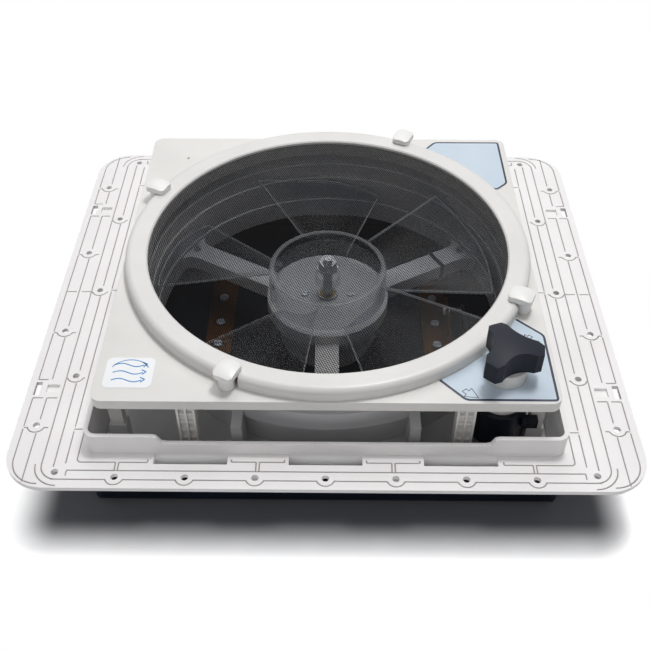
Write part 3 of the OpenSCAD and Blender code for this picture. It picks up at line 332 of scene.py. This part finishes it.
thread, spacing, askew = 0.48, 1.7, math.radians(24)
lowest = net_low + 0.02 + thread / 4
layer_step = 0.45 * thread
yarn_section = [(-thread / 2, 0), (0, -thread / 4), (thread / 2, 0), (0, thread / 4)]
verts, faces = [], []
count = int(net_radius / spacing)
for layer in (0, 1):
    middle = lowest + layer * layer_step
    bearing = askew + layer * math.pi / 2
    ahead_x, ahead_y = math.cos(bearing), math.sin(bearing)
    for i in range(-count, count + 1):
        half = math.sqrt(net_radius ** 2 - (i * spacing) ** 2)
        start = len(verts)
        for end in (-half, half):
            for across, rise in yarn_section:
                off = i * spacing + across
                verts.append((end * ahead_x - off * ahead_y, end * ahead_y + off * ahead_x,
                              middle + rise))
        for k in range(4):
            faces.append([start + (k + 1) % 4, start + k, start + 4 + k, start + 4 + (k + 1) % 4])
screen_mesh = new_piece("woven_screen", verts, faces, vinyl)
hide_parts("insect_screen")
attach(screen_mesh, "housing")

# Turn buttons
# Four small domed latches in white ABS, a shade brighter than the frame that they
# hold down. Each is snapped into the panel and turns on its own post.
button_abs = moulded("moulded_button_abs", "#EBEAE7", "#F3F2F0", 0.36)
for i in range(1, 5):
    dress(f"turn_button_{i}", button_abs)

# Labels
# Two labels in pale blue polycarbonate film, smooth and satin, with a navy edge
# line and plain arrows in screen ink, and a matt white paper sticker with blue
# waves for moving air.
label_film = moulded("printed_polycarbonate_film", "#C2D1DE", "#CCD9E4", 0.3, grit=0.3, depth=0.004)
for name in ["knob_label", "blank_label"]:
    dress(name, label_film)
sticker = moulded("coated_paper_sticker", "#F1F3F5", "#F8F9FA", 0.5, grit=0.4, depth=0.006)
dress("airflow_badge", sticker)


def heading(back, point, on):
    """The way a line runs at one of its points, and how much wider it gets in the corner there."""
    a = Vector((point[0] - back[0], point[1] - back[1]))
    b = Vector((on[0] - point[0], on[1] - point[1]))
    a = a.normalized() if a.length > 0 else b.normalized()
    b = b.normalized() if b.length > 0 else a
    along = (a + b).normalized()
    return along, 1 / max(0.4, along.dot(b))


def ribbon(points, width, closed=False):
    """A printed line: a flat strip of ink along the points, on top of the labels."""
    verts, faces = [], []
    count = len(points)
    for i, (x, y) in enumerate(points):
        if closed:
            back, on = points[i - 1], points[(i + 1) % count]
        else:
            back, on = points[max(i - 1, 0)], points[min(i + 1, count - 1)]
        along, wider = heading(back, (x, y), on)
        off_x, off_y = -along.y * width / 2 * wider, along.x * width / 2 * wider
        for s in (1, -1):
            for z in (label_top, label_top + ink_thickness):
                verts.append((x + s * off_x, y + s * off_y, z))
    for i in range(count if closed else count - 1):
        p, q = 4 * i, 4 * ((i + 1) % count)
        faces += [(p + 1, p + 3, q + 3, q + 1), (p, q, q + 2, p + 2), (p, p + 1, q + 1, q),
                  (p + 2, q + 2, q + 3, p + 3)]
    if not closed:
        last = 4 * (count - 1)
        faces += [(0, 2, 3, 1), (last, last + 1, last + 3, last + 2)]
    return verts, faces


def printed(name, lines, material):
    """One piece made of several printed lines."""
    verts, faces = [], []
    for line_verts, line_faces in lines:
        faces += [tuple(k + len(verts) for k in face) for face in line_faces]
        verts += line_verts
    piece = new_piece(name, verts, faces, material)
    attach(piece, "housing")


def edge_of(node, inset):
    """The straight and rounded part of a label's edge, moved inwards."""
    bm = bmesh.new()
    bm.from_mesh(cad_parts[node].data)
    bmesh.ops.remove_doubles(bm, verts=bm.verts, dist=0.01 * mm)
    top = max(v.co.z for v in bm.verts)
    bmesh.ops.delete(bm, geom=[f for f in bm.faces if f.calc_center_median().z < top - 0.05 * mm],
                     context="FACES")
    rim = [e for e in bm.edges if e.is_boundary]
    chains = []
    while rim:
        edge = rim.pop()
        chain = [edge.verts[0], edge.verts[1]]
        while True:
            more = [e for e in chain[-1].link_edges if e in rim]
            if not more:
                break
            rim.remove(more[0])
            chain.append(more[0].other_vert(chain[-1]))
        chains.append([(v.co.x / mm, v.co.y / mm) for v in chain])
    bm.free()
    chain = max(chains, key=lambda c: sum(math.dist(a, b) for a, b in zip(c, c[1:])))[:-1]
    beside_frame = screen_rim + 1.2
    first = next(i for i in range(len(chain))
                 if math.hypot(*chain[i - 1]) < beside_frame <= math.hypot(*chain[i]))
    chain = chain[first:] + chain[:first]
    count = max(i for i, p in enumerate(chain) if math.hypot(*p) > beside_frame) + 1
    kept = [chain[-1]] + chain[:count] + [chain[count]]
    area = sum(a[0] * b[1] - b[0] * a[1] for a, b in zip(chain, chain[1:] + chain[:1]))
    inward = inset if area > 0 else -inset
    moved = []
    for i, p in enumerate(kept):
        along, wider = heading(kept[max(i - 1, 0)], p, kept[min(i + 1, len(kept) - 1)])
        moved.append((p[0] - along.y * inward * wider, p[1] + along.x * inward * wider))
    return moved


screen_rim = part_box("screen_frame")[1][0] / mm
label_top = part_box("knob_label")[1][2] / mm
ink_thickness = 0.03
ink = moulded("navy_screen_ink", "#161A30", "#20263E", 0.4, grit=0.3, depth=0.004)
arrow = [(-5.4, 1.6), (-2.4, 4.2), (-0.6, 2.2), (1.6, 4.6), (5.6, -4.4), (-4.4, -3.0), (-2.8, -0.8)]
near_x, near_y = 103, -158.8
far_x, far_y, far_scale = 152, -103, 0.8
edge_inset, edge_line, arrow_line = 1.0, 1.8, 0.55
near_arrow = [(near_x + x, near_y + y) for x, y in arrow]
far_arrow = [(far_x - far_scale * x, far_y + far_scale * y) for x, y in reversed(arrow)]
printed("label_print", [
    ribbon(edge_of("knob_label", edge_inset), edge_line),
    ribbon(edge_of("blank_label", edge_inset), edge_line),
    ribbon(near_arrow, arrow_line, closed=True),
    ribbon(far_arrow, arrow_line, closed=True),
], ink)
blue_ink = moulded("blue_screen_ink", "#2F7FC0", "#4A97D2", 0.45, grit=0.3, depth=0.004)
low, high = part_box("airflow_badge")
middle_x, middle_y = (low[0] + high[0]) / 2 / mm, (low[1] + high[1]) / 2 / mm
wave_start, wave_length, wave_height, wave_pitch = -12, 22, 1.6, 7.5
wave_head = [(-1.2, 2.8), (2.2, 0.9), (-0.2, -2.0)]
arc_half_width, arc_half_height = 14.6, 12.6
wave_line, arc_line = 1.0, 0.8
lines = []
for k in (-1, 0, 1):
    wave = [(middle_x + wave_start + t, middle_y + wave_pitch * k
             + wave_height * math.sin(t / wave_length * 2 * math.pi)) for t in range(wave_length + 1)]
    lines.append(ribbon(wave, wave_line))
    end_x, end_y = wave[-1]
    lines.append(ribbon([(end_x + x, end_y + y) for x, y in wave_head], wave_line))
arc = [(middle_x + arc_half_width * math.cos(a / 10), middle_y + arc_half_height * math.sin(a / 10))
       for a in range(4, 28)]
lines.append(ribbon(arc, arc_line))
printed("airflow_print", lines, blue_ink)

# Knob collar, knob and gear housing
# The collar is white ABS. The knob is a three-lobed grip in navy glass-filled
# nylon, dull with a rough grain. The gear housing below the panel is black
# acetal, smoother and darker.
dress("knob_collar", screen_abs)
navy_nylon = moulded("moulded_navy_nylon", "#10151F", "#181F2C", 0.5, grit=0.35, depth=0.03, shine=0.2)
dress("knob", navy_nylon)
gear_acetal = moulded("moulded_black_acetal", "#0A0D16", "#141823", 0.34, grit=0.6, shine=0.3)
dress("gear_housing", gear_acetal)

# Motor
# A drawn steel can, dull grey from its zinc, with a black phenolic end cap. With
# it go matt ferrite magnets, a glossy varnished winding, a bright copper
# commutator, a brown paper phenolic brush holder and dark sintered bronze bushes.
can = plated("zinc_plated_motor_can", "#8B8E93", "#B0B3B7", 0.38, 6.0)
dress("motor_case", can)
ferrite = moulded("sintered_ferrite", "#2C2C2F", "#3C3C40", 0.6, grit=0.3, depth=0.05)
dress("motor_magnets", ferrite)
phenolic = moulded("black_phenolic", "#1E2024", "#2A2C31", 0.45)
dress("motor_end_cap", phenolic)
brown_phenolic = moulded("brown_phenolic_paper", "#6B4020", "#80502C", 0.5, grit=0.4)
dress("brush_holder", brown_phenolic)
bronze = plated("sintered_bronze", "#6A5836", "#8E7850", 0.42, 1.0)
dress("front_bush", bronze)
dress("rear_bush", bronze)
copper = plated("turned_copper", "#9A5A34", "#C07A4E", 0.3, 1.0)
dress("commutator", copper)
varnish = moulded("varnished_copper_winding", "#5A3018", "#8A5228", 0.34, grit=0.5, depth=0.2, coat=0.4)
dress("armature", varnish)

# Wiring
# The lead, its grommet and its tie are black, with the soft sheen of PVC. The
# plug is natural nylon, creamy and waxy, and so is the roller of the lift.
pvc = moulded("black_pvc", "#101114", "#1B1C20", 0.4, grit=0.5)
for name in ["motor_lead", "wire_grommet", "cable_tie"]:
    dress(name, pvc)
natural_nylon = moulded("natural_nylon", "#DFDBCC", "#EAE7DA", 0.4)
dress("lead_plug", natural_nylon)
dress("lift_roller", natural_nylon)

# Lift arm and worm wheel
# The arm is flat steel painted black, with a soft gloss. The wheel on its hub is
# cut from a yellow copper alloy and left bright.
paint = moulded("black_painted_steel", "#171A20", "#22262E", 0.36, grit=0.7)
dress("lift_arm", paint)
brass = plated("cut_brass", "#A9812F", "#D2AC58", 0.3, 1.0)
dress("worm_wheel", brass)

# Lid
# The weather lid is a tray in smoke-navy ABS, nearly black and satin, with a dull
# rubber seal on its floor. Two short straps in brown bronzed steel are screwed to
# it, and one of them carries the slotted lift rail.
lid_abs = moulded("moulded_smoke_navy_abs", "#0A0E17", "#111724", 0.4, grit=0.9, depth=0.002, shine=0.12)
dress("lid_shell", lid_abs)
rubber = moulded("black_epdm_rubber", "#1E1E20", "#2B2B2E", 0.7, grit=0.4, depth=0.05)
dress("lid_seal", rubber)
strap_steel = plated("bronzed_spring_steel", "#4A2E16", "#6E4824", 0.36, 1.0)
dress("lid_strap", strap_steel)
dress("lift_track", strap_steel)

# Fan
# Hub and blades are one moulding in clear smoke polycarbonate. A face is nearly
# invisible when it is seen square on and shines grey-white at a slant. Along the edges
# and tips of the blades and the rim of the hub a milky white is painted as a painted highlight.
clear, tree = new_material("clear_smoke_polycarbonate")
# Flow streaks about 5 mm wide near the tip and 110 mm long
streaks_per_radian, streaks_per_metre = 28.0, 9.0
hub_radius = 51 * mm
edge_from, edge_to = 0.5 * mm, 1.3 * mm
first_blade, half_turn, half_sweep = math.radians(22), math.radians(36), math.radians(24)
low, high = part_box("fan_rotor")
tip_radius, rim_top = high[0], high[2]
place = add(tree, "ShaderNodeTexCoord").outputs["Object"]
split = add(tree, "ShaderNodeSeparateXYZ", {"Vector": place})
bearing = add(tree, "ShaderNodeMath", {0: split.outputs["Y"], 1: split.outputs["X"]}, operation="ARCTAN2")
flat = add(tree, "ShaderNodeCombineXYZ", {"X": split.outputs["X"], "Y": split.outputs["Y"]})
radius = add(tree, "ShaderNodeVectorMath", {0: flat}, operation="LENGTH").outputs["Value"]
spoke = add(tree, "ShaderNodeCombineXYZ", {"X": bearing, "Y": radius})
spoke = add(tree, "ShaderNodeMapping", {
    "Vector": spoke, "Scale": (streaks_per_radian, streaks_per_metre, 1.0)})
streak = add(tree, "ShaderNodeTexNoise", {"Vector": spoke, "Scale": 1.0, "Detail": 2.0})
clouds = add(tree, "ShaderNodeMapRange", {
    "Value": streak, "From Min": 0.5, "From Max": 0.8, "To Min": 0.002, "To Max": 0.03})
to_side = add(tree, "ShaderNodeMath", {0: bearing, 1: first_blade}, operation="SUBTRACT")
to_side = add(tree, "ShaderNodeMath", {0: to_side, 1: half_turn, 2: -half_turn}, operation="WRAP")
to_side = add(tree, "ShaderNodeMath", {0: to_side}, operation="ABSOLUTE")
to_side = add(tree, "ShaderNodeMath", {0: half_sweep, 1: to_side}, operation="SUBTRACT")
to_side = add(tree, "ShaderNodeMath", {0: to_side, 1: radius}, operation="MULTIPLY")
to_tip = add(tree, "ShaderNodeMath", {0: tip_radius, 1: radius}, operation="SUBTRACT")
inside = add(tree, "ShaderNodeMath", {0: to_side, 1: to_tip}, operation="MINIMUM")
on_hub = add(tree, "ShaderNodeMath", {0: radius, 1: hub_radius}, operation="LESS_THAN")
inside = add(tree, "ShaderNodeMath", {0: inside, 1: on_hub}, operation="ADD")
from_rim = add(tree, "ShaderNodeMath", {0: rim_top, 1: split.outputs["Z"]}, operation="SUBTRACT")
inside = add(tree, "ShaderNodeMath", {0: inside, 1: from_rim}, operation="MINIMUM")
# A milky band painted along the blade edges, the tips and the hub rim: a painted highlight, mixed with
# the faint flow streaks.
edge = add(tree, "ShaderNodeMapRange", {
    "Value": inside, "From Min": edge_from, "From Max": edge_to, "To Min": 0.4, "To Max": 0.0})
haze_and_painted_edge_highlight = add(tree, "ShaderNodeMath", {0: clouds, 1: edge}, operation="MAXIMUM")
wave = add(tree, "ShaderNodeBump", {"Height": streak, "Strength": 0.5, "Distance": 0.4 * mm})
gloss = add(tree, "ShaderNodeMapRange", {"Value": streak, "To Min": 0.34, "To Max": 0.44})
shade = add(tree, "ShaderNodeValToRGB", {"Fac": streak})
shade.color_ramp.elements[0].color = srgb("#C9CCD1")
shade.color_ramp.elements[1].color = srgb("#F0F1F3")
milk = add(tree, "ShaderNodeBsdfPrincipled", {
    "Base Color": shade, "Roughness": 0.5, "Specular IOR Level": 0.2})
sheet = add(tree, "ShaderNodeBsdfTransparent", {"Color": srgb("#F4F5F7")})
mirror = add(tree, "ShaderNodeBsdfGlossy", {
    "Color": srgb("#FFFFFF"), "Roughness": gloss, "Normal": wave})
slant = add(tree, "ShaderNodeLayerWeight", {"Blend": 0.5, "Normal": wave}).outputs["Facing"]
slant = add(tree, "ShaderNodeMath", {0: slant, 1: 5.0}, operation="POWER")
slant = add(tree, "ShaderNodeMapRange", {"Value": slant, "To Min": 0.018, "To Max": 0.8})
body = add(tree, "ShaderNodeMixShader", {0: haze_and_painted_edge_highlight, 1: sheet, 2: milk})
body = add(tree, "ShaderNodeMixShader", {0: slant, 1: body, 2: mirror})
add(tree, "ShaderNodeOutputMaterial", {"Surface": body})
dress("fan_rotor", clear)
